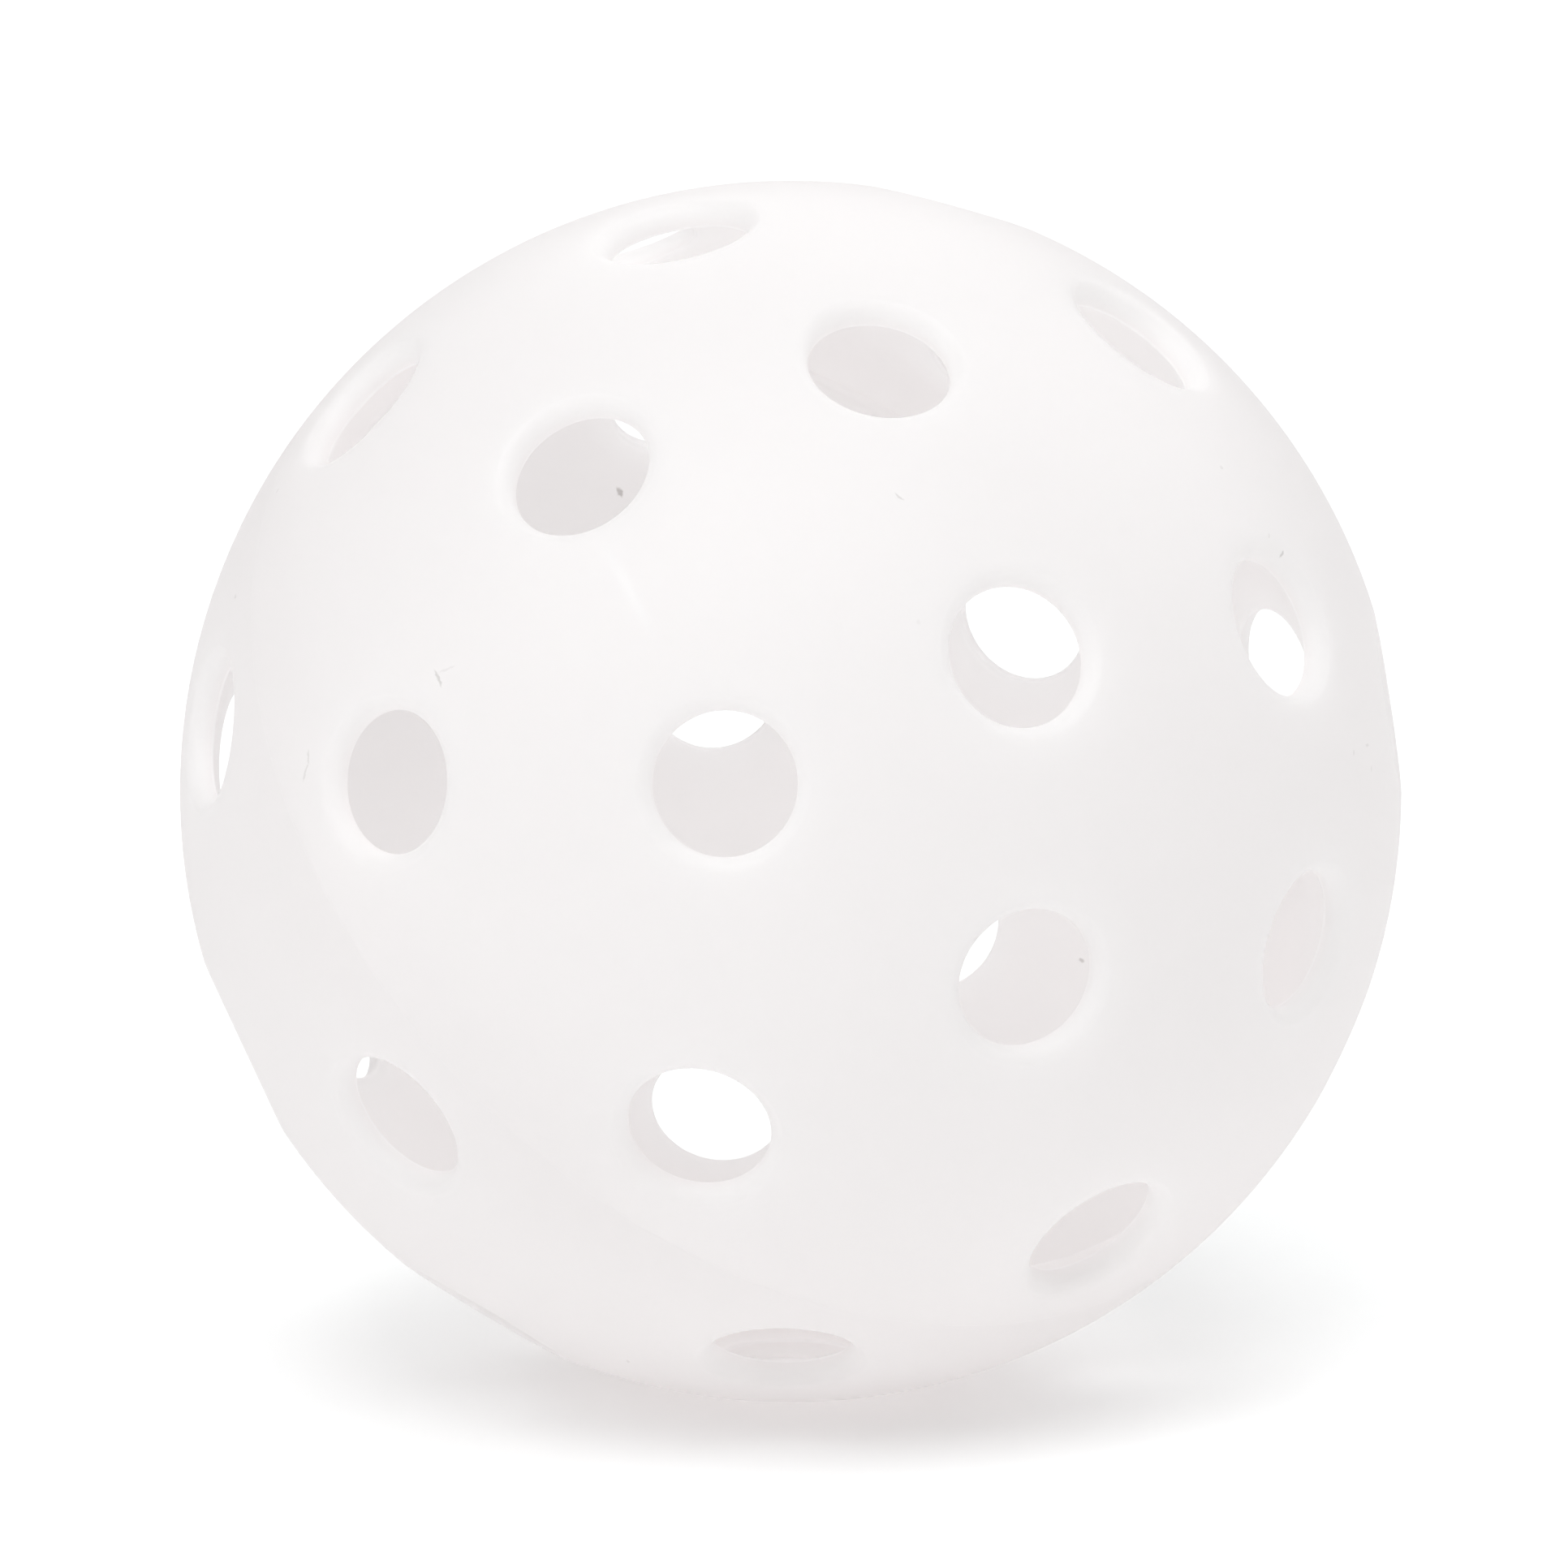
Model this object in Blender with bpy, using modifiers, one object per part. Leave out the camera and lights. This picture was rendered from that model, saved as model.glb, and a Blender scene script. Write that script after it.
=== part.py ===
"""Pickleball with 40 holes: two identical moulded half shells, welded face to face.

Units are metres and +Z is up. The origin is the centre of the ball. The ball
lies as it does at rest on a table: it stands on the rim of one hole of the
fifth row, so that hole's axis points straight down.
"""

import math

import bpy
from mathutils import Matrix

# ---------------------------------------------------------------- dimensions
BALL_D = 0.0740  # outside diameter
WALL = 0.0016  # wall thickness
HOLE_D = 0.0084  # bore of every hole
RIM_ROUND = 0.0011  # radius that rounds the outer edge of every hole

# rows of holes in one half: latitude above the weld, number, first longitude
ROWS = ((67.0, 4, 0.0), (39.6, 8, 22.5), (12.2, 8, 0.0))
STAGGER = 24.0  # the lower half's rows are turned by this against the upper's

GAP = 0.0003  # clearance between the weld and what it joins
WELD_WEB = 0.0004  # thickness of fused plastic between the rims
RIM_SWELL = 0.0018  # how much thicker the wall is at the weld, on the inside
RIM_REACH = 0.0030  # how far from the weld the wall starts to thicken

# how the ball lies: the pole leans from +Z, towards this compass direction
POLE_LEAN = 90.0 - 39.6  # puts a hole of the second row's latitude straight down
POLE_COMPASS = -49.3  # measured from +X towards +Y
REST_LONGITUDE = STAGGER - 67.5  # longitude of the hole that the ball stands on

AROUND = 48  # steps round the pole
ARC_STEPS = 12  # steps from pole to weld
SWELL_STEPS = 5  # steps across the thicker rim
HOLE_STEPS = 16  # steps round a hole
ROUND_STEPS = 2  # steps across a rounded hole edge

R_OUT = BALL_D / 2
R_IN = R_OUT - WALL
R_HOLE = HOLE_D / 2
RIM_Z = WELD_WEB / 2 + GAP  # where each half's welding rim lies


# ------------------------------------------------------------------- helpers
def clear_scene():
    for obj in list(bpy.data.objects):
        bpy.data.objects.remove(obj, do_unlink=True)


def new_collection(name, parent=None):
    coll = bpy.data.collections.new(name)
    (parent or bpy.context.scene.collection).children.link(coll)
    return coll


def plastic(name, colour, roughness):
    mat = bpy.data.materials.new(name)
    mat.use_nodes = True
    bsdf = next(n for n in mat.node_tree.nodes if n.type == "BSDF_PRINCIPLED")
    bsdf.inputs["Base Color"].default_value = (*colour, 1.0)
    bsdf.inputs["Roughness"].default_value = roughness
    bsdf.inputs["Metallic"].default_value = 0.0
    return mat


def empty(name, coll, matrix, parent=None):
    obj = bpy.data.objects.new(name, None)
    obj.empty_display_size = 0.02
    coll.objects.link(obj)
    obj.parent = parent
    obj.matrix_basis = matrix
    return obj


def profile_mesh(name, points, closed=False):
    """A section of (radius, height) points in the XZ plane, as a chain of edges."""
    n = len(points)
    edges = [(i, i + 1) for i in range(n - 1)]
    if closed:
        edges.append((n - 1, 0))
    mesh = bpy.data.meshes.new(name)
    mesh.from_pydata([(x, 0.0, z) for x, z in points], edges, [])
    return mesh


def turned(name, mesh, coll, steps, parent, matrix=Matrix()):
    """An object that turns a section round its own Z axis."""
    obj = bpy.data.objects.new(name, mesh)
    coll.objects.link(obj)
    obj.parent = parent
    obj.matrix_basis = matrix
    screw = obj.modifiers.new("Turn", "SCREW")
    screw.axis = "Z"
    screw.angle = math.tau
    screw.screw_offset = 0.0
    screw.steps = steps
    screw.render_steps = steps
    screw.use_merge_vertices = True
    screw.merge_threshold = 0.00001
    screw.use_smooth_shade = True
    return obj


def settle(obj, sharp_deg):
    """Keep the evaluated shape as the object's mesh, smooth but for its edges."""
    bpy.context.view_layer.update()
    graph = bpy.context.evaluated_depsgraph_get()
    mesh = bpy.data.meshes.new_from_object(obj.evaluated_get(graph))
    mesh.name = obj.name
    obj.modifiers.clear()
    obj.data = mesh
    mesh.shade_smooth()
    mesh.set_sharp_from_angle(angle=math.radians(sharp_deg))


# ------------------------------------------------------------------ sections
def swell(z):
    """Extra thickness of the wall at a height above the weld."""
    return RIM_SWELL * (1.0 - (z / RIM_REACH) ** 2) ** 2


def half_section():
    """One half shell: outside from pole to rim, across the rim, inside back up."""
    top = math.asin(RIM_Z / R_OUT)
    bottom = math.asin(RIM_REACH / R_IN)
    points = []
    for i in range(ARC_STEPS + 1):
        lat = math.pi / 2 + (top - math.pi / 2) * i / ARC_STEPS
        points.append((R_OUT * math.cos(lat), R_OUT * math.sin(lat)))
    for i in range(SWELL_STEPS):
        z = RIM_Z + (RIM_REACH - RIM_Z) * i / SWELL_STEPS
        points.append((math.sqrt(R_IN**2 - z**2) - swell(z), z))
    for i in range(ARC_STEPS + 1):
        lat = bottom + (math.pi / 2 - bottom) * i / ARC_STEPS
        points.append((R_IN * math.cos(lat), R_IN * math.sin(lat)))
    points[0] = (0.0, R_OUT)
    points[-1] = (0.0, R_IN)
    return points


def hole_section():
    """The space of one hole: a bore whose mouth opens out in a rounded edge."""
    # centre of the edge's arc, tangent to the bore and to the ball
    cx = R_HOLE + RIM_ROUND
    cz = math.sqrt((R_OUT - RIM_ROUND) ** 2 - cx**2)
    lean = math.atan2(cx, cz)
    sweep = (math.pi / 2 - lean) * 0.82  # stops short of grazing the ball
    arc = []
    for i in range(ROUND_STEPS + 1):
        t = sweep * i / ROUND_STEPS
        arc.append((cx - RIM_ROUND * math.cos(t), cz + RIM_ROUND * math.sin(t)))
    # on out of the ball along the arc's last slope
    (x0, z0), (x1, z1) = arc[-2], arc[-1]
    out = 0.0012
    length = math.hypot(x1 - x0, z1 - z0)
    mouth = (x1 + (x1 - x0) / length * out, z1 + (z1 - z0) / length * out)
    deep = R_IN - 0.0040
    high = R_OUT + 0.0012
    arc.reverse()
    return [(0.0, high), (mouth[0], high), mouth] + arc + [(R_HOLE, deep), (0.0, deep)]


def weld_section():
    """The weld: a thin web that fills the width between the rims."""
    web = WELD_WEB / 2
    crown = R_IN - swell(0.0)
    return [(R_OUT, web), (R_OUT, -web), (crown, -web), (crown, web)]


# -------------------------------------------------------------------- pieces
def half_shell(name, section, hole, parts, cutters, parent, material):
    """A half shell with its 20 holes, pole along its parent's +Z."""
    shell = turned(name, section, parts, AROUND, parent)
    shell.data.materials.clear()
    drills = new_collection(name + "_drills", cutters)
    for row, (lat, count, first) in enumerate(ROWS, 1):
        for k in range(count):
            lon = math.radians(first + 360.0 * k / count)
            lean = math.radians(90.0 - lat)
            place = Matrix.Rotation(lon, 4, "Z") @ Matrix.Rotation(lean, 4, "Y")
            label = f"{name}_drill_row{row}_{k + 1}"
            drill = turned(label, hole, drills, HOLE_STEPS, parent, place)
            drill.hide_render = True
            drill.display_type = "WIRE"
    cut = shell.modifiers.new("Holes", "BOOLEAN")
    cut.operation = "DIFFERENCE"
    cut.solver = "EXACT"
    cut.operand_type = "COLLECTION"
    cut.collection = drills
    settle(shell, 30.0)
    shell.data.materials.append(material)
    return shell


def main():
    clear_scene()
    parts = new_collection("pickleball")
    cutters = new_collection("pickleball_cutters")

    # the ball as it lies: the rest hole's longitude is turned down, then the pole leans
    lie = (
        Matrix.Rotation(math.radians(POLE_COMPASS), 4, "Z")
        @ Matrix.Rotation(math.radians(POLE_LEAN), 4, "Y")
        @ Matrix.Rotation(math.radians(-REST_LONGITUDE), 4, "Z")
    )
    ball = empty("ball_frame", parts, lie)

    # the second half is the first turned over about an axis in the weld plane,
    # half the stagger round from the first longitude
    axis = math.radians(STAGGER / 2)
    over = (
        Matrix.Rotation(axis, 4, "Z")
        @ Matrix.Rotation(math.pi, 4, "X")
        @ Matrix.Rotation(-axis, 4, "Z")
    )
    turned_over = empty("lower_half_frame", parts, over, ball)

    hole = profile_mesh("hole_section", hole_section())
    half_shell(
        "upper_half_shell",
        profile_mesh("upper_half_section", half_section()),
        hole,
        parts,
        cutters,
        ball,
        plastic("upper_half_plastic", (0.86, 0.85, 0.84), 0.42),
    )
    half_shell(
        "lower_half_shell",
        profile_mesh("lower_half_section", half_section()),
        hole,
        parts,
        cutters,
        turned_over,
        plastic("lower_half_plastic", (0.85, 0.84, 0.83), 0.42),
    )

    weld = turned(
        "seam_weld",
        profile_mesh("weld_section", weld_section(), closed=True),
        parts,
        AROUND,
        ball,
    )
    settle(weld, 30.0)
    weld.data.materials.append(plastic("weld_plastic", (0.84, 0.83, 0.82), 0.5))
    bpy.context.view_layer.update()


main()
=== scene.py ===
"""Looks of the pickleball: fine half shells, the weld between them, plastic and light."""

import math

import bmesh
import bpy
import numpy as np
from mathutils import Matrix, Vector


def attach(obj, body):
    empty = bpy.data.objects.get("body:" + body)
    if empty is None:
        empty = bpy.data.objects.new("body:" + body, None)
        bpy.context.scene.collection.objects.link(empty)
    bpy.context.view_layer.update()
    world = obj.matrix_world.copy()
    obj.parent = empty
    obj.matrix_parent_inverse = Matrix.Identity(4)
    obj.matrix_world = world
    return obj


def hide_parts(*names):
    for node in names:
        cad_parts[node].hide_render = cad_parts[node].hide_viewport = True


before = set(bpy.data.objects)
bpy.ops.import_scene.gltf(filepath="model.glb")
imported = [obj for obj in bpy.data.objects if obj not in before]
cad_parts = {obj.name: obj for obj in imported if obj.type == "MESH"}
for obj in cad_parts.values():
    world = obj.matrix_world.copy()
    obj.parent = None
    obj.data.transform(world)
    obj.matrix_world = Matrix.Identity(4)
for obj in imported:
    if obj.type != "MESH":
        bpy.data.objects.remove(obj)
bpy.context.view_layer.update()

# ---------------------------------------------------------------- dimensions
R_OUT = 0.0370  # outside radius
R_IN = R_OUT - 0.0016  # inside radius
R_HOLE = 0.0042  # bore radius of every hole
RIM_ROUND = 0.0011  # rounding of a hole's outer edge
RIM_INNER = 0.00025  # rounding of a hole's inner edge
SEAM = 0.00002  # half the width of the weld seen from outside
BEAD_HALF, BEAD_HIGH = 0.00005, 0.000010  # the weld's bead on the inside
RIM_SWELL = 0.0018  # how much thicker the wall is at the weld
RIM_REACH = 0.0030  # how far from the weld it starts to thicken
EDGE_REACH = 0.0018  # how far round a hole the inside is painted brighter, a painted glow of light from the bore
ROWS = ((67.0, 4, 0.0), (39.6, 8, 22.5), (12.2, 8, 0.0))
STAGGER = 24.0
LIE = (
    Matrix.Rotation(math.radians(-49.3), 4, "Z")
    @ Matrix.Rotation(math.radians(50.4), 4, "Y")
    @ Matrix.Rotation(math.radians(67.5 - STAGGER), 4, "Z")
)
OVER = (
    Matrix.Rotation(math.radians(STAGGER / 2), 4, "Z")
    @ Matrix.Rotation(math.pi, 4, "X")
    @ Matrix.Rotation(math.radians(-STAGGER / 2), 4, "Z")
)


# ------------------------------------------------------------- half shell mesh
def hole_axes():
    out = []
    for lat, count, first in ROWS:
        for k in range(count):
            lo, la = math.radians(first + 360.0 * k / count), math.radians(lat)
            out.append(
                (math.cos(la) * math.cos(lo), math.cos(la) * math.sin(lo), math.sin(la))
            )
    return np.array(out)


def cell_corners(i, axes):
    """Corners, in order round the hole, of the part of the half ball nearest to it."""
    n = axes[i]
    planes = [n - axes[j] for j in range(len(axes)) if j != i]
    planes.append(np.array([0.0, 0.0, 1.0]))
    planes = np.array([p / np.linalg.norm(p) for p in planes])
    corners = []
    for a in range(len(planes)):
        for b in range(a + 1, len(planes)):
            c = np.cross(planes[a], planes[b])
            size = np.linalg.norm(c)
            if size < 1e-9:
                continue
            for s in (1.0, -1.0):
                p = s * c / size
                if (planes @ p).min() > -1e-9 and p @ n > 0.2:
                    if all(np.linalg.norm(p - q) > 1e-6 for q in corners):
                        corners.append(p)
    u, v = side_axes(n)
    return sorted(corners, key=lambda p: math.atan2(p @ v, p @ u))


def side_axes(n):
    u = np.cross(n, [0.0, 0.0, 1.0])
    u /= np.linalg.norm(u)
    return u, np.cross(n, u)


def along_arc(p, q, count):
    w = math.acos(max(-1.0, min(1.0, float(p @ q))))
    return [
        (math.sin((1 - k / count) * w) * p + math.sin(k / count * w) * q) / math.sin(w)
        for k in range(count)
    ]


def hole_profile():
    """(radius from the hole's axis, height along it) from the outside in."""
    cx = R_HOLE + RIM_ROUND
    cz = math.sqrt((R_OUT - RIM_ROUND) ** 2 - cx**2)
    sweep = math.pi / 2 - math.atan2(cx, cz)
    pts = []
    for k in range(11):
        t = sweep * (1 - k / 10)
        pts.append((cx - RIM_ROUND * math.cos(t), cz + RIM_ROUND * math.sin(t)))
    ix = R_HOLE + RIM_INNER
    iz = math.sqrt((R_IN + RIM_INNER) ** 2 - ix**2)
    pts.append((R_HOLE, (cz + iz) / 2))
    sweep = math.pi / 2 + math.atan2(ix, iz)
    for k in range(8):
        t = sweep * k / 7
        pts.append((ix - RIM_INNER * math.cos(t), iz - RIM_INNER * math.sin(t)))
    return pts


def to_inside(points):
    """Points moved in to the inside face, where the wall swells towards the weld."""
    u = np.clip(np.abs(points[:, 2]) / RIM_REACH, 0.0, 1.0)
    size = np.linalg.norm(points, axis=1)
    return points * ((R_IN - RIM_SWELL * (1 - u * u) ** 2) / size)[:, None]


def half_mesh(name):
    """A half shell, pole along +Z, as rings round each hole that meet between holes."""
    axes = hole_axes()
    step = math.radians(1.75)
    outer_rings, inner_rings = 11, 8
    prof = hole_profile()
    verts, faces = [], []
    for i, n in enumerate(axes):
        corners = cell_corners(i, axes)
        edge = []
        for p, q in zip(corners, corners[1:] + corners[:1]):
            w = math.acos(max(-1.0, min(1.0, float(p @ q))))
            edge += along_arc(p, q, max(2, round(w / step)))
        edge = np.array(edge)
        count = len(edge)
        u, v = side_axes(n)
        phi = np.unwrap(np.arctan2(edge @ v, edge @ u))
        even = phi.mean() + (np.arange(count) - (count - 1) / 2) * (2 * math.pi / count)
        far = np.arccos(np.clip(edge @ n, -1, 1))
        at_weld = np.abs(edge[:, 2]) < 1e-7

        def ring(angle, dist, radius):
            side = np.cos(angle)[:, None] * u + np.sin(angle)[:, None] * v
            return radius * (np.cos(dist)[:, None] * n + np.sin(dist)[:, None] * side)

        def to_weld(points, radius, z):
            points = points.copy()
            flat = points[at_weld][:, :2]
            flat *= math.sqrt(radius**2 - z**2) / np.linalg.norm(flat, axis=1)[:, None]
            points[at_weld, :2] = flat
            points[at_weld, 2] = z
            return points

        rings = []
        near = math.atan2(*prof[0])
        for k in range(outer_rings, 0, -1):
            s = k / outer_rings
            rings.append(ring(even + (phi - even) * s**1.5, near + (far - near) * s, R_OUT))
        rings[0] = to_weld(rings[0], R_OUT, SEAM)
        for rad, high in prof:
            side = np.cos(even)[:, None] * u + np.sin(even)[:, None] * v
            rings.append(high * n + rad * side)
        near = math.atan2(*prof[-1])
        for k in range(1, inner_rings + 1):
            s = k / inner_rings
            flat = ring(even + (phi - even) * s**1.5, near + (far - near) * s, R_IN)
            rings.append(to_inside(flat))
        rings[-1] = to_weld(rings[-1], R_IN - RIM_SWELL, SEAM)
        base = len(verts)
        for r in rings:
            verts.extend(r.tolist())
        for k in range(len(rings) - 1):
            for j in range(count):
                a, b = base + k * count + j, base + k * count + (j + 1) % count
                faces.append((a, b, b + count, a + count))
        # the welding rim
        last = (len(rings) - 1) * count
        for j in range(count):
            jj = (j + 1) % count
            if at_weld[j] and at_weld[jj]:
                faces.append((base + j, base + last + j, base + last + jj, base + jj))
    mesh = bpy.data.meshes.new(name)
    mesh.from_pydata(verts, [], faces)
    bm = bmesh.new()
    bm.from_mesh(mesh)
    bmesh.ops.remove_doubles(bm, verts=bm.verts, dist=2e-6)
    bmesh.ops.recalc_face_normals(bm, faces=bm.faces)
    bm.to_mesh(mesh)
    open_edges = sum(1 for e in bm.edges if len(e.link_faces) != 2)
    bm.free()
    print(name, len(mesh.vertices), len(mesh.polygons), "open edges", open_edges)
    # how close each point of the inside face is to the edge of a hole, the mask of the painted glow
    # round each hole
    spots = np.array([tuple(v.co) for v in mesh.vertices])
    size = np.linalg.norm(spots, axis=1)
    turn = np.arccos(np.clip(spots @ axes.T / size[:, None], -1.0, 1.0)).min(axis=1)
    close = np.clip(1.0 - (turn * R_IN - R_HOLE) / EDGE_REACH, 0.0, 1.0)
    close[size > R_IN + 0.0002] = 0.0
    mesh.attributes.new("edge", "FLOAT", "POINT").data.foreach_set("value", close)
    mesh.shade_smooth()
    mesh.set_sharp_from_angle(angle=math.radians(50))
    return mesh


def weld_mesh(name):
    """The fused ring: flush outside, an uneven bead inside."""
    around = 360
    half, seat = SEAM - 0.000002, R_IN - RIM_SWELL - 0.000005
    sect = [(R_OUT, half), (R_OUT, -half), (seat, -half)]
    bead = range(len(sect), len(sect) + 9)
    for k in range(len(bead)):
        t = math.pi * k / (len(bead) - 1)
        sect.append((seat - BEAD_HIGH * math.sin(t), -BEAD_HALF * math.cos(t)))
    sect += [(seat, half)]
    rng = np.random.default_rng(7)
    wave = np.zeros(around)
    for f in range(3, 40):
        wave += rng.normal() / f**0.7 * np.cos(
            f * np.arange(around) * 2 * math.pi / around + rng.uniform(0, 6.28)
        )
    wave /= np.abs(wave).max()
    verts, faces = [], []
    m = len(sect)
    for j in range(around):
        a = 2 * math.pi * j / around
        for k, (r, z) in enumerate(sect):
            if k in bead:
                r = seat - (seat - r) * (1 + 0.22 * wave[j])
                z = z * (1 + 0.12 * wave[(j + 40) % around])
            verts.append((r * math.cos(a), r * math.sin(a), z))
    for j in range(around):
        jj = (j + 1) % around
        for k in range(m):
            kk = (k + 1) % m
            faces.append((j * m + k, j * m + kk, jj * m + kk, jj * m + k))
    mesh = bpy.data.meshes.new(name)
    mesh.from_pydata(verts, [], faces)
    bm = bmesh.new()
    bm.from_mesh(mesh)
    bmesh.ops.recalc_face_normals(bm, faces=bm.faces)
    bm.to_mesh(mesh)
    bm.free()
    mesh.shade_smooth()
    mesh.set_sharp_from_angle(angle=math.radians(50))
    return mesh


# ------------------------------------------------------------------ materials
def node(tree, kind, x, y, **values):
    n = tree.nodes.new(kind)
    n.location = (x, y)
    for k, v in values.items():
        setattr(n, k, v)
    return n


def ramp(tree, x, y, stops):
    n = node(tree, "ShaderNodeValToRGB", x, y)
    e = n.color_ramp.elements
    while len(e) < len(stops):
        e.new(0.5)
    for el, (pos, col) in zip(e, stops):
        el.position = pos
        el.color = col
    return n


def stroke(t, coords, y, start, end, width):
    """Mask of a short mark on the surface: 1 along it, 0 off it."""
    p, q = Vector(start), Vector(end)
    mid, along = (p + q) / 2, (q - p).normalized()
    out = (mid - along * mid.dot(along)).normalized()
    place = node(t, "ShaderNodeMapping", -700, y, vector_type="TEXTURE")
    place.inputs["Location"].default_value = mid
    place.inputs["Rotation"].default_value = (
        Matrix((along, out.cross(along), out)).transposed().to_euler()
    )
    place.inputs["Scale"].default_value = ((q - p).length / 2 + width / 2, width / 2, 0.001)
    t.links.new(coords, place.inputs["Vector"])
    far = node(t, "ShaderNodeVectorMath", -500, y, operation="LENGTH")
    t.links.new(place.outputs["Vector"], far.inputs[0])
    return far.outputs["Value"]


def marks_mask(t, coords, y, marks):
    """The strongest of several marks at each point."""
    total = None
    for k, (start, end, width, amount) in enumerate(marks):
        far = stroke(t, coords, y - 160 * k, start, end, width)
        edge = node(t, "ShaderNodeMapRange", -300, y - 160 * k, interpolation_type="SMOOTHSTEP")
        edge.inputs["From Min"].default_value = 0.45
        edge.inputs["From Max"].default_value = 1.15
        edge.inputs["To Min"].default_value = amount
        edge.inputs["To Max"].default_value = 0.0
        t.links.new(far, edge.inputs["Value"])
        if total is None:
            total = edge.outputs["Result"]
        else:
            top = node(t, "ShaderNodeMath", -100, y - 160 * k, operation="MAXIMUM")
            t.links.new(total, top.inputs[0])
            t.links.new(edge.outputs["Result"], top.inputs[1])
            total = top.outputs["Value"]
    return total


def shell_material(name, seed, tint, inside, through, share, scuffs=(), knits=()):
    """White plastic: satin skin over a body that lets part of the light through."""
    mat = bpy.data.materials.new(name)
    mat.use_nodes = True
    t = mat.node_tree
    t.nodes.clear()
    out = node(t, "ShaderNodeOutputMaterial", 1000, 0)
    b = node(t, "ShaderNodeBsdfPrincipled", 600, 0)
    thin = node(t, "ShaderNodeBsdfTranslucent", 600, -500)
    both = node(t, "ShaderNodeMixShader", 800, 0)
    both.inputs["Fac"].default_value = share
    t.links.new(b.outputs[0], both.inputs[1])
    t.links.new(thin.outputs[0], both.inputs[2])
    t.links.new(both.outputs[0], out.inputs[0])
    co = node(t, "ShaderNodeTexCoord", -1200, 0)

    # slow, faint drift of the white
    drift = node(t, "ShaderNodeTexNoise", -700, 300, noise_dimensions="4D")
    drift.inputs["Scale"].default_value = 45.0
    drift.inputs["Detail"].default_value = 3.0
    drift.inputs["W"].default_value = seed
    t.links.new(co.outputs["Object"], drift.inputs["Vector"])
    colour = ramp(
        t,
        -400,
        300,
        [
            (0.30, (tint[0] * 0.975, tint[1] * 0.974, tint[2] * 0.973, 1)),
            (0.70, (tint[0], tint[1], tint[2], 1)),
        ],
    )
    # and a fine mottle
    mottle = node(t, "ShaderNodeTexNoise", -900, 100, noise_dimensions="4D")
    mottle.inputs["Scale"].default_value = 1500.0
    mottle.inputs["Detail"].default_value = 3.0
    mottle.inputs["W"].default_value = seed + 2.0
    t.links.new(co.outputs["Object"], mottle.inputs["Vector"])
    tone = node(t, "ShaderNodeMix", -550, 200, data_type="FLOAT")
    tone.inputs["Factor"].default_value = 0.45
    t.links.new(drift.outputs["Fac"], tone.inputs["A"])
    t.links.new(mottle.outputs["Fac"], tone.inputs["B"])
    t.links.new(tone.outputs["Result"], colour.inputs["Fac"])

    # the inside face is painted pinker and a shade darker than the outside: painted warm shade of the
    # hollow ball
    depth = node(t, "ShaderNodeVectorMath", -700, 600, operation="LENGTH")
    t.links.new(co.outputs["Object"], depth.inputs[0])
    skin = node(t, "ShaderNodeMapRange", -400, 600)
    skin.inputs["From Min"].default_value = R_IN + 0.0001
    skin.inputs["From Max"].default_value = R_IN + 0.0008
    t.links.new(depth.outputs["Value"], skin.inputs["Value"])
    blend = node(t, "ShaderNodeMix", 0, 400, data_type="RGBA")
    blend.inputs["A"].default_value = (*inside, 1)
    t.links.new(skin.outputs["Result"], blend.inputs["Factor"])
    t.links.new(colour.outputs["Color"], blend.inputs["B"])
    shade = blend.outputs["Result"]

    # handling marks: specks and hairs of dirt, and the odd knit line of the moulding
    wobble = node(t, "ShaderNodeTexNoise", -1400, -700)
    wobble.inputs["Scale"].default_value = 3800.0
    wobble.inputs["Detail"].default_value = 1.0
    t.links.new(co.outputs["Object"], wobble.inputs["Vector"])
    swing = node(t, "ShaderNodeMapRange", -1200, -700, data_type="FLOAT_VECTOR")
    swing.inputs["To Min"].default_value = (-0.00012, -0.00012, -0.00012)
    swing.inputs["To Max"].default_value = (0.00012, 0.00012, 0.00012)
    t.links.new(wobble.outputs["Color"], swing.inputs["Vector"])
    rough_co = node(t, "ShaderNodeVectorMath", -1000, -700, operation="ADD")
    t.links.new(co.outputs["Object"], rough_co.inputs[0])
    t.links.new(swing.outputs["Vector"], rough_co.inputs[1])
    opaque = None
    if scuffs:
        opaque = marks_mask(t, rough_co.outputs["Vector"], -900, scuffs)
        dirt = node(t, "ShaderNodeMix", 200, 400, data_type="RGBA")
        dirt.inputs["B"].default_value = (0.20, 0.175, 0.15, 1)
        t.links.new(opaque, dirt.inputs["Factor"])
        t.links.new(shade, dirt.inputs["A"])
        shade = dirt.outputs["Result"]
    if knits:
        line = marks_mask(t, rough_co.outputs["Vector"], -900 - 160 * len(scuffs), knits)
        if opaque is None:
            opaque = line
        else:
            top = node(t, "ShaderNodeMath", 100, -800, operation="MAXIMUM")
            t.links.new(opaque, top.inputs[0])
            t.links.new(line, top.inputs[1])
            opaque = top.outputs["Value"]
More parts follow.
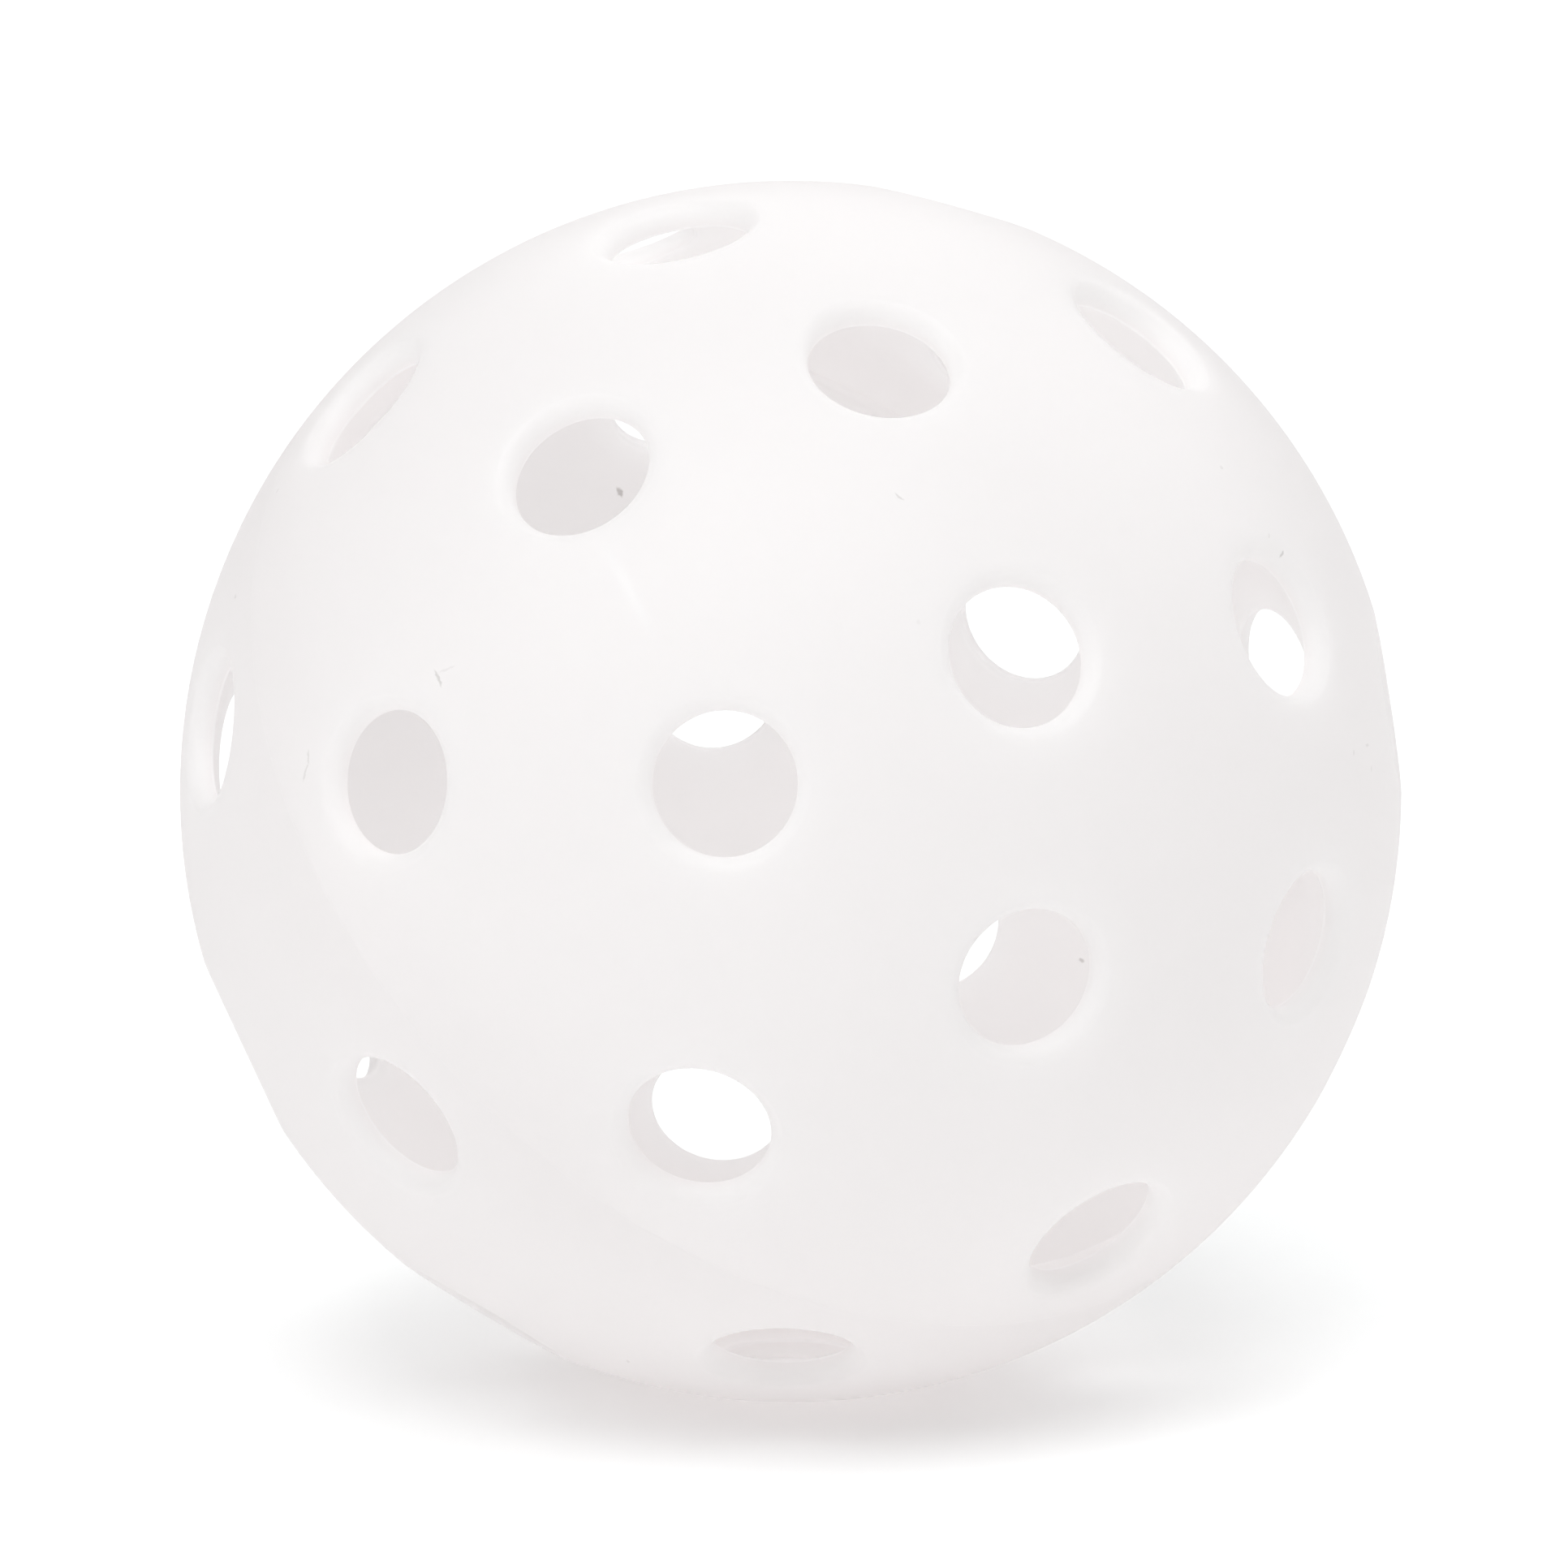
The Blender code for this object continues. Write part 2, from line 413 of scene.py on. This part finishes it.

    # painted lift: under the skin, the inside and the light through the wall are painted paler along
    # the thick rim at the weld, offsetting the shade the thicker wall casts there
    lift = node(t, "ShaderNodeVectorMath", -700, 900, operation="DOT_PRODUCT")
    lift.inputs[1].default_value = LIE.to_3x3() @ Vector((0, 0, 1))
    t.links.new(co.outputs["Object"], lift.inputs[0])
    rise = node(t, "ShaderNodeMath", -550, 900, operation="ABSOLUTE")
    t.links.new(lift.outputs["Value"], rise.inputs[0])
    close = node(t, "ShaderNodeMapRange", -400, 900, interpolation_type="SMOOTHSTEP")
    close.inputs["From Max"].default_value = RIM_REACH
    close.inputs["To Min"].default_value = 1.0
    close.inputs["To Max"].default_value = 0.0
    t.links.new(rise.outputs["Value"], close.inputs["Value"])
    under = node(t, "ShaderNodeMapRange", -400, 750)
    under.inputs["From Min"].default_value = R_OUT - 0.0004
    under.inputs["From Max"].default_value = R_OUT - 0.0001
    under.inputs["To Min"].default_value = 1.0
    under.inputs["To Max"].default_value = 0.0
    t.links.new(depth.outputs["Value"], under.inputs["Value"])
    rim = node(t, "ShaderNodeMath", 0, 800, operation="MULTIPLY")
    t.links.new(close.outputs["Result"], rim.inputs[0])
    t.links.new(under.outputs["Result"], rim.inputs[1])
    # and the inside round each hole is painted paler too: a painted glow of the light that comes in
    # from the bore
    edge = node(t, "ShaderNodeAttribute", -200, 1000, attribute_name="edge")
    both_of = node(t, "ShaderNodeMath", 150, 900, operation="MAXIMUM")
    t.links.new(rim.outputs["Value"], both_of.inputs[0])
    t.links.new(edge.outputs["Fac"], both_of.inputs[1])
    # painted lift and glow: colours turn paler where the weld-rim or hole-edge mask is high
    pale = node(t, "ShaderNodeMix", 300, 600, data_type="RGBA")
    pale.inputs["B"].default_value = (*RIM_INSIDE, 1)
    t.links.new(both_of.outputs["Value"], pale.inputs["Factor"])
    t.links.new(shade, pale.inputs["A"])
    shade = pale.outputs["Result"]
    clear = node(t, "ShaderNodeMix", 300, -500, data_type="RGBA")
    clear.inputs["A"].default_value = (*through, 1)
    clear.inputs["B"].default_value = (*RIM_THROUGH, 1)
    t.links.new(both_of.outputs["Value"], clear.inputs["Factor"])
    t.links.new(clear.outputs["Result"], thin.inputs["Color"])
    if opaque is not None:
        part = node(t, "ShaderNodeMapRange", 400, -700)
        part.inputs["To Min"].default_value = share
        part.inputs["To Max"].default_value = 0.0
        t.links.new(opaque, part.inputs["Value"])
        t.links.new(part.outputs["Result"], both.inputs["Fac"])
    t.links.new(shade, b.inputs["Base Color"])

    # satin skin: fine grain
    grain = node(t, "ShaderNodeTexNoise", -700, -100, noise_dimensions="4D")
    grain.inputs["Scale"].default_value = 2600.0
    grain.inputs["Detail"].default_value = 2.0
    grain.inputs["W"].default_value = seed
    t.links.new(co.outputs["Object"], grain.inputs["Vector"])
    rough = node(t, "ShaderNodeMapRange", -400, -100)
    rough.inputs["To Min"].default_value = 0.38
    rough.inputs["To Max"].default_value = 0.50
    t.links.new(grain.outputs["Fac"], rough.inputs["Value"])
    t.links.new(rough.outputs["Result"], b.inputs["Roughness"])
    bump = node(t, "ShaderNodeBump", 200, -300)
    bump.inputs["Strength"].default_value = 0.10
    bump.inputs["Distance"].default_value = 0.00005
    t.links.new(grain.outputs["Fac"], bump.inputs["Height"])
    t.links.new(bump.outputs["Normal"], b.inputs["Normal"])

    b.inputs["IOR"].default_value = 1.5
    b.inputs["Specular IOR Level"].default_value = 0.6
    return mat


def floor_material():
    mat = bpy.data.materials.new("pale_floor")
    mat.use_nodes = True
    t = mat.node_tree
    b = next(n for n in t.nodes if n.type == "BSDF_PRINCIPLED")
    co = node(t, "ShaderNodeTexCoord", -900, 0)
    noise = node(t, "ShaderNodeTexNoise", -650, 0)
    noise.inputs["Scale"].default_value = 12.0
    t.links.new(co.outputs["Object"], noise.inputs["Vector"])
    c = ramp(t, -400, 0, [(0.3, (0.925, 0.925, 0.925, 1)), (0.7, (0.935, 0.935, 0.935, 1))])
    t.links.new(noise.outputs["Fac"], c.inputs["Fac"])
    t.links.new(c.outputs["Color"], b.inputs["Base Color"])
    b.inputs["Roughness"].default_value = 0.9
    b.inputs["Specular IOR Level"].default_value = 0.1
    # a light table: the floor glows a little, which keeps the contact shadow faint
    b.inputs["Emission Color"].default_value = (1, 1, 1, 1)
    b.inputs["Emission Strength"].default_value = 0.09
    return mat


# marks on the skin: from, to, width and strength
UPPER_SCUFFS = (
    ((-0.02069, -0.02809, 0.01233), (-0.02030, -0.02873, 0.01149), 0.00025, 0.44),
    ((-0.02045, -0.02831, 0.01222), (-0.01954, -0.02873, 0.01272), 0.00020, 0.20),
    ((-0.02826, -0.02292, 0.00671), (-0.02825, -0.02314, 0.00593), 0.00020, 0.30),
    ((-0.02825, -0.02313, 0.00598), (-0.02860, -0.02297, 0.00484), 0.00020, 0.30),
    ((0.00587, -0.02858, 0.02276), (0.00633, -0.02875, 0.02241), 0.00022, 0.38),
    ((-0.03072, -0.00687, 0.01944), (-0.03062, -0.00689, 0.01959), 0.00027, 0.28),
    ((0.02526, -0.01531, 0.02229), (0.02525, -0.01543, 0.02221), 0.00025, 0.24),
    ((0.02904, -0.01512, 0.01723), (0.02903, -0.01527, 0.01711), 0.00027, 0.46),
    ((0.02809, -0.01566, 0.01828), (0.02809, -0.01577, 0.01820), 0.00025, 0.20),
    ((0.03323, -0.01540, 0.00527), (0.03322, -0.01545, 0.00513), 0.00027, 0.28),
    ((0.03406, -0.01344, 0.00531), (0.03423, -0.01304, 0.00523), 0.00025, 0.28),
    ((0.03444, -0.01294, 0.00389), (0.03444, -0.01300, 0.00371), 0.00027, 0.24),
    ((0.00713, -0.03261, 0.01596), (0.00718, -0.03264, 0.01587), 0.00027, 0.14),
)
LOWER_SCUFFS = (
    ((-0.03312, -0.00938, 0.01358), (-0.03311, -0.00957, 0.01346), 0.00027, 0.30),
    ((-0.00977, -0.01713, -0.03131), (-0.00973, -0.01667, -0.03157), 0.00027, 0.28),
    ((-0.01080, 0.03067, 0.01374), (-0.01059, 0.03096, 0.01323), 0.00042, 0.60),
    ((0.01844, 0.02573, -0.01562), (0.01864, 0.02555, -0.01568), 0.00030, 0.50),
)
UPPER_KNITS = (((-0.01100, -0.02912, 0.02000), (-0.00798, -0.03281, 0.01513), 0.00080, 0.14),)


# -------------------------------------------------------------------- pieces
def add(name, mesh, matrix, material, replaced):
    mesh.transform(matrix)
    mesh.update()
    obj = bpy.data.objects.new(name, mesh)
    bpy.context.scene.collection.objects.link(obj)
    obj.data.materials.append(material)
    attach(obj, "root")
    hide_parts(replaced)
    return obj


WHITE = (0.962, 0.967, 0.966)
# painted warm shade of the hollow: the inside face, pinker and darker than the outside
INSIDE = (0.961, 0.936, 0.937)
THROUGH = (0.965, 0.950, 0.949)
SHARE = 0.62
# painted lift and glow: paler inside and through colours along the weld's thick rim and round each
# hole
RIM_INSIDE = (0.992, 0.980, 0.980)
RIM_THROUGH = (0.996, 0.990, 0.990)
# the weld is painted paler than the shells, a painted lift that hides the shade along the seam
WELD = (0.985, 0.980, 0.980)
upper = add(
    "upper_half_shell_skin",
    half_mesh("upper_half_shell_skin"),
    LIE,
    shell_material("upper_half_white", 1.3, WHITE, INSIDE, THROUGH, SHARE, UPPER_SCUFFS, UPPER_KNITS),
    "upper_half_shell",
)
lower = add(
    "lower_half_shell_skin",
    half_mesh("lower_half_shell_skin"),
    LIE @ OVER,
    shell_material("lower_half_white", 5.1, WHITE, INSIDE, THROUGH, SHARE, LOWER_SCUFFS),
    "lower_half_shell",
)
# the weld ring's paler colours are a painted lift against the seam's shade
weld = add(
    "seam_weld_ring",
    weld_mesh("seam_weld_ring"),
    LIE,
    shell_material("weld_painted_paler", 9.7, WELD, WELD, (0.996, 0.990, 0.990), 0.9),
    "seam_weld",
)

# --------------------------------------------------------------------- stage
floor_mesh = bpy.data.meshes.new("floor")
fb = bmesh.new()
bmesh.ops.create_grid(fb, x_segments=2, y_segments=2, size=4.0)
fb.to_mesh(floor_mesh)
fb.free()
floor = bpy.data.objects.new("floor", floor_mesh)
bpy.context.scene.collection.objects.link(floor)
floor.location = (0, 0, min(v.co.z for v in lower.data.vertices))
floor.data.materials.append(floor_material())

DAYLIGHT = (0.985, 1.0, 1.0)  # a shade cooler than neutral
world = bpy.data.worlds.new("studio")
bpy.context.scene.world = world
world.use_nodes = True
bg = next(n for n in world.node_tree.nodes if n.type == "BACKGROUND")
bg.inputs["Color"].default_value = (*DAYLIGHT, 1)
bg.inputs["Strength"].default_value = 0.36


def area(name, size, power, place, aim):
    light = bpy.data.lights.new(name, "AREA")
    light.shape = "DISK"
    light.size = size
    light.energy = power
    light.color = DAYLIGHT
    obj = bpy.data.objects.new(name, light)
    bpy.context.scene.collection.objects.link(obj)
    obj.location = place
    obj.rotation_euler = (Vector(aim) - Vector(place)).to_track_quat("-Z", "Y").to_euler()
    return obj


# soft boxes: overhead, in front above, left above and two from behind
area("top_softbox", 2.1, 7.4, (0.00, -0.09, 2.70), (0, 0, 0))
area("front_softbox", 2.1, 33.0, (0.00, -1.27, 2.38), (0, 0, 0))
area("left_softbox", 2.1, 21.0, (-1.35, -1.35, 1.91), (0, 0, 0))
area("back_softbox", 2.1, 13.7, (0.00, 2.07, 1.74), (0, 0, 0))
area("right_back_softbox", 2.1, 17.9, (1.79, 1.03, 1.74), (0, 0, 0))

# -------------------------------------------------------------------- camera
IMAGE = 1932.0
DIST = 16.94 * R_OUT
FOCAL_PX = 752.6 * math.sqrt(16.94**2 - 1)
AZ, EL, ROLL = math.radians(-0.26), math.radians(10.54), math.radians(0.07)
CENTRE_PX = (974.2, 975.0)

cam_data = bpy.data.cameras.new("photo_camera")
cam_data.sensor_width = 36.0
cam_data.lens = FOCAL_PX / IMAGE * 36.0
cam_data.clip_start = 0.01
cam_data.clip_end = 60.0
cam_data.dof.use_dof = False
cam = bpy.data.objects.new("photo_camera", cam_data)
bpy.context.scene.collection.objects.link(cam)
back = Vector((math.sin(AZ) * math.cos(EL), -math.cos(AZ) * math.cos(EL), math.sin(EL)))
right = Vector((0, 0, 1)).cross(back).normalized()
up = back.cross(right)
turn = Matrix((right, up, back)).transposed() @ Matrix.Rotation(ROLL, 3, "Z")
# aimed so that the ball's centre falls where it does in the frame
off_x = (CENTRE_PX[0] - IMAGE / 2) / FOCAL_PX
off_y = (CENTRE_PX[1] - IMAGE / 2) / FOCAL_PX
aim = turn @ Matrix.Rotation(off_x, 3, "Y") @ Matrix.Rotation(off_y, 3, "X")
m = aim.to_4x4()
m.translation = back * DIST
cam.matrix_world = m
bpy.context.scene.camera = cam

bpy.context.scene.cycles.max_bounces = 24
bpy.context.scene.cycles.diffuse_bounces = 18
bpy.context.scene.cycles.transmission_bounces = 18
bpy.context.scene.view_settings.view_transform = "Standard"
bpy.context.scene.view_settings.look = "None"
